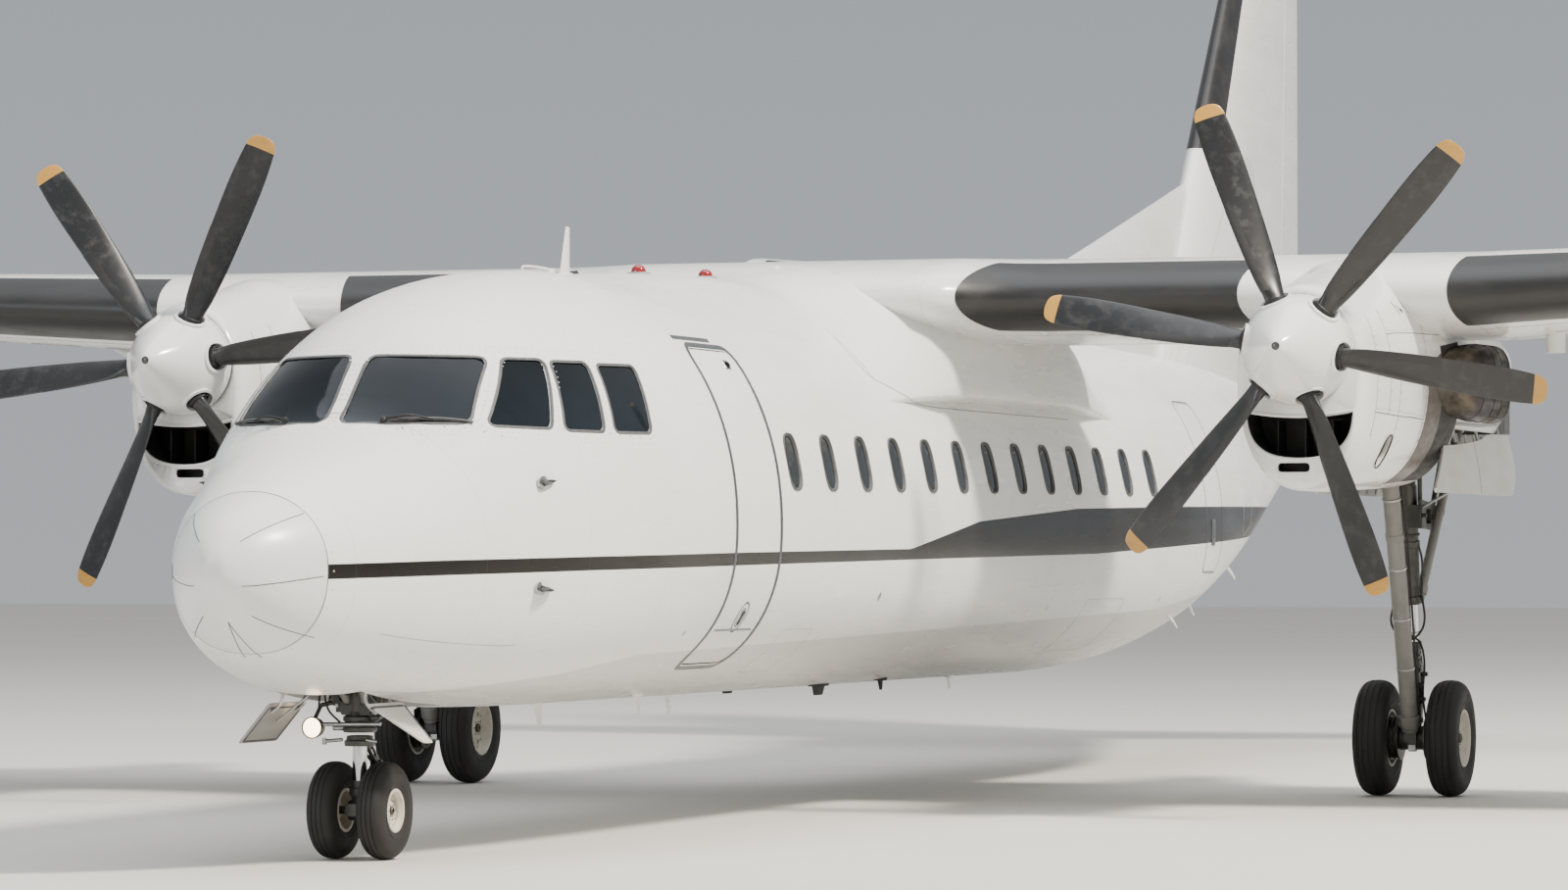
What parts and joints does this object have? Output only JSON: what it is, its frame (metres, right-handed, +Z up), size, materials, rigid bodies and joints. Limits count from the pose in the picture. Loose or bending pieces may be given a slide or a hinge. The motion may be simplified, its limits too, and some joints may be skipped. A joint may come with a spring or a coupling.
{
  "type": "turboprop airliner",
  "caption": "High-wing regional passenger aeroplane with wing-mounted turboprops and a low-set tailplane, parked on its gear, with an airstair door at the front.",
  "frame": {"origin": "on the ground, below the middle of the overall length and span", "axes": "+X to port along the wing span, the nose points to -Y, +Z up"},
  "size_m": [29, 25.25, 8.32],
  "materials": {
    "white_paint": "gloss",
    "grey_paint": "satin",
    "cockpit_glass": "gloss",
    "blade_paint": "satin",
    "gear_metal": "satin",
    "exhaust_metal": "heat-stained",
    "hub_paint": "satin",
    "tyre_rubber": "matte",
    "lamp_glass": "gloss"
  },
  "bodies": {
    "airframe": {"fuselage": "white_paint", "radome": "white_paint", "windscreen_port": "cockpit_glass", "windscreen_starboard": "cockpit_glass", "side_window_port_1": "cockpit_glass", "side_window_port_2": "cockpit_glass", "side_window_port_3": "cockpit_glass", "side_window_starboard_1": "cockpit_glass", "side_window_starboard_2": "cockpit_glass", "side_window_starboard_3": "cockpit_glass", "aft_door_port": "white_paint", "wing_center": "white_paint", "wing_fairing": "white_paint", "outer_wing_port": "white_paint", "outer_wing_starboard": "white_paint", "flap_inner_port": "white_paint", "flap_inner_starboard": "white_paint", "flap_outer_port": "white_paint", "flap_outer_starboard": "white_paint", "nacelle_port": "white_paint", "nacelle_starboard": "white_paint", "engine_block_port": "gear_metal", "engine_block_starboard": "gear_metal", "exhaust_port": "exhaust_metal", "exhaust_starboard": "exhaust_metal", "fin": "white_paint", "tailplane": "white_paint", "dorsal_fin": "white_paint", "main_leg_port": "gear_metal", "main_leg_starboard": "gear_metal", "main_gear_door_inner_port": "grey_paint", "main_gear_door_inner_starboard": "grey_paint", "main_gear_door_outer_port": "grey_paint", "main_gear_door_outer_starboard": "grey_paint", "nose_leg": "gear_metal", "nose_gear_door_port": "white_paint", "nose_gear_door_starboard": "white_paint", "taxi_lamp": "lamp_glass"},
    "forward_door": {"forward_door": "white_paint"},
    "rudder": {"rudder": "white_paint"},
    "elevator_port": {"elevator_port": "white_paint"},
    "elevator_starboard": {"elevator_starboard": "white_paint"},
    "aileron_port": {"aileron_port": "white_paint"},
    "aileron_starboard": {"aileron_starboard": "white_paint"},
    "propeller_port": {"propeller_blades_port": "blade_paint", "spinner_port": "white_paint"},
    "propeller_starboard": {"propeller_blades_starboard": "blade_paint", "spinner_starboard": "white_paint"},
    "main_wheels_port": {"main_hubs_port": "hub_paint", "main_tyre_port_inner": "tyre_rubber", "main_tyre_port_outer": "tyre_rubber"},
    "main_wheels_starboard": {"main_hubs_starboard": "hub_paint", "main_tyre_starboard_inner": "tyre_rubber", "main_tyre_starboard_outer": "tyre_rubber"},
    "nose_steer": {"nose_fork": "gear_metal"},
    "nose_wheels": {"nose_hubs": "hub_paint", "nose_tyre_port": "tyre_rubber", "nose_tyre_starboard": "tyre_rubber"}
  },
  "joints": [
    {"name": "forward_door_hinge", "type": "hinge", "parent": "airframe", "child": "forward_door", "pos_m": [0.968, -7.365, 1.1], "axis": [0, 1, 0], "range_deg": [0, 105]},
    {"name": "rudder_hinge", "type": "hinge", "parent": "airframe", "child": "rudder", "pos_m": [0, 11.355, 3.96], "axis": [0, 0.1275, 0.9918], "range_deg": [-25, 25]},
    {"name": "elevator_port_hinge", "type": "hinge", "parent": "airframe", "child": "elevator_port", "pos_m": [0.33, 10.70054, 4.11468], "axis": [0.9942, 0.0257, 0.1045], "range_deg": [-15, 25]},
    {"name": "elevator_starboard_hinge", "type": "hinge", "parent": "airframe", "child": "elevator_starboard", "pos_m": [-0.33, 10.70054, 4.11468], "axis": [0.9942, -0.0257, -0.1045], "range_deg": [-15, 25]},
    {"name": "aileron_port_hinge", "type": "hinge", "parent": "airframe", "child": "aileron_port", "pos_m": [9.96, -1.03152, 3.76124], "axis": [0.9934, -0.1045, 0.0481], "range_deg": [-20, 20]},
    {"name": "aileron_starboard_hinge", "type": "hinge", "parent": "airframe", "child": "aileron_starboard", "pos_m": [-9.96, -1.03152, 3.76124], "axis": [0.9934, 0.1045, -0.0481], "range_deg": [-20, 20]},
    {"name": "propeller_port_spin", "type": "hinge", "parent": "airframe", "child": "propeller_port", "pos_m": [4.1, -4.392, 3.163], "axis": [0, 1, 0], "continuous": true},
    {"name": "propeller_starboard_spin", "type": "hinge", "parent": "airframe", "child": "propeller_starboard", "pos_m": [-4.1, -4.392, 3.163], "axis": [0, 1, 0], "continuous": true},
    {"name": "main_wheels_port_spin", "type": "hinge", "parent": "airframe", "child": "main_wheels_port", "pos_m": [3.92, 0.118, 0.43], "axis": [1, 0, 0], "continuous": true},
    {"name": "main_wheels_starboard_spin", "type": "hinge", "parent": "airframe", "child": "main_wheels_starboard", "pos_m": [-3.92, 0.118, 0.43], "axis": [1, 0, 0], "continuous": true},
    {"name": "nose_steering", "type": "hinge", "parent": "airframe", "child": "nose_steer", "pos_m": [0, -10.565, 0.5], "axis": [0, 0, 1], "range_deg": [-60, 60]},
    {"name": "nose_wheels_spin", "type": "hinge", "parent": "nose_steer", "child": "nose_wheels", "pos_m": [0, -10.565, 0.286], "axis": [1, 0, 0], "continuous": true}
  ],
  "couplings": [
    {"joint": "elevator_starboard_hinge", "follows": "elevator_port_hinge", "ratio": 1},
    {"joint": "aileron_starboard_hinge", "follows": "aileron_port_hinge", "ratio": -1}
  ]
}
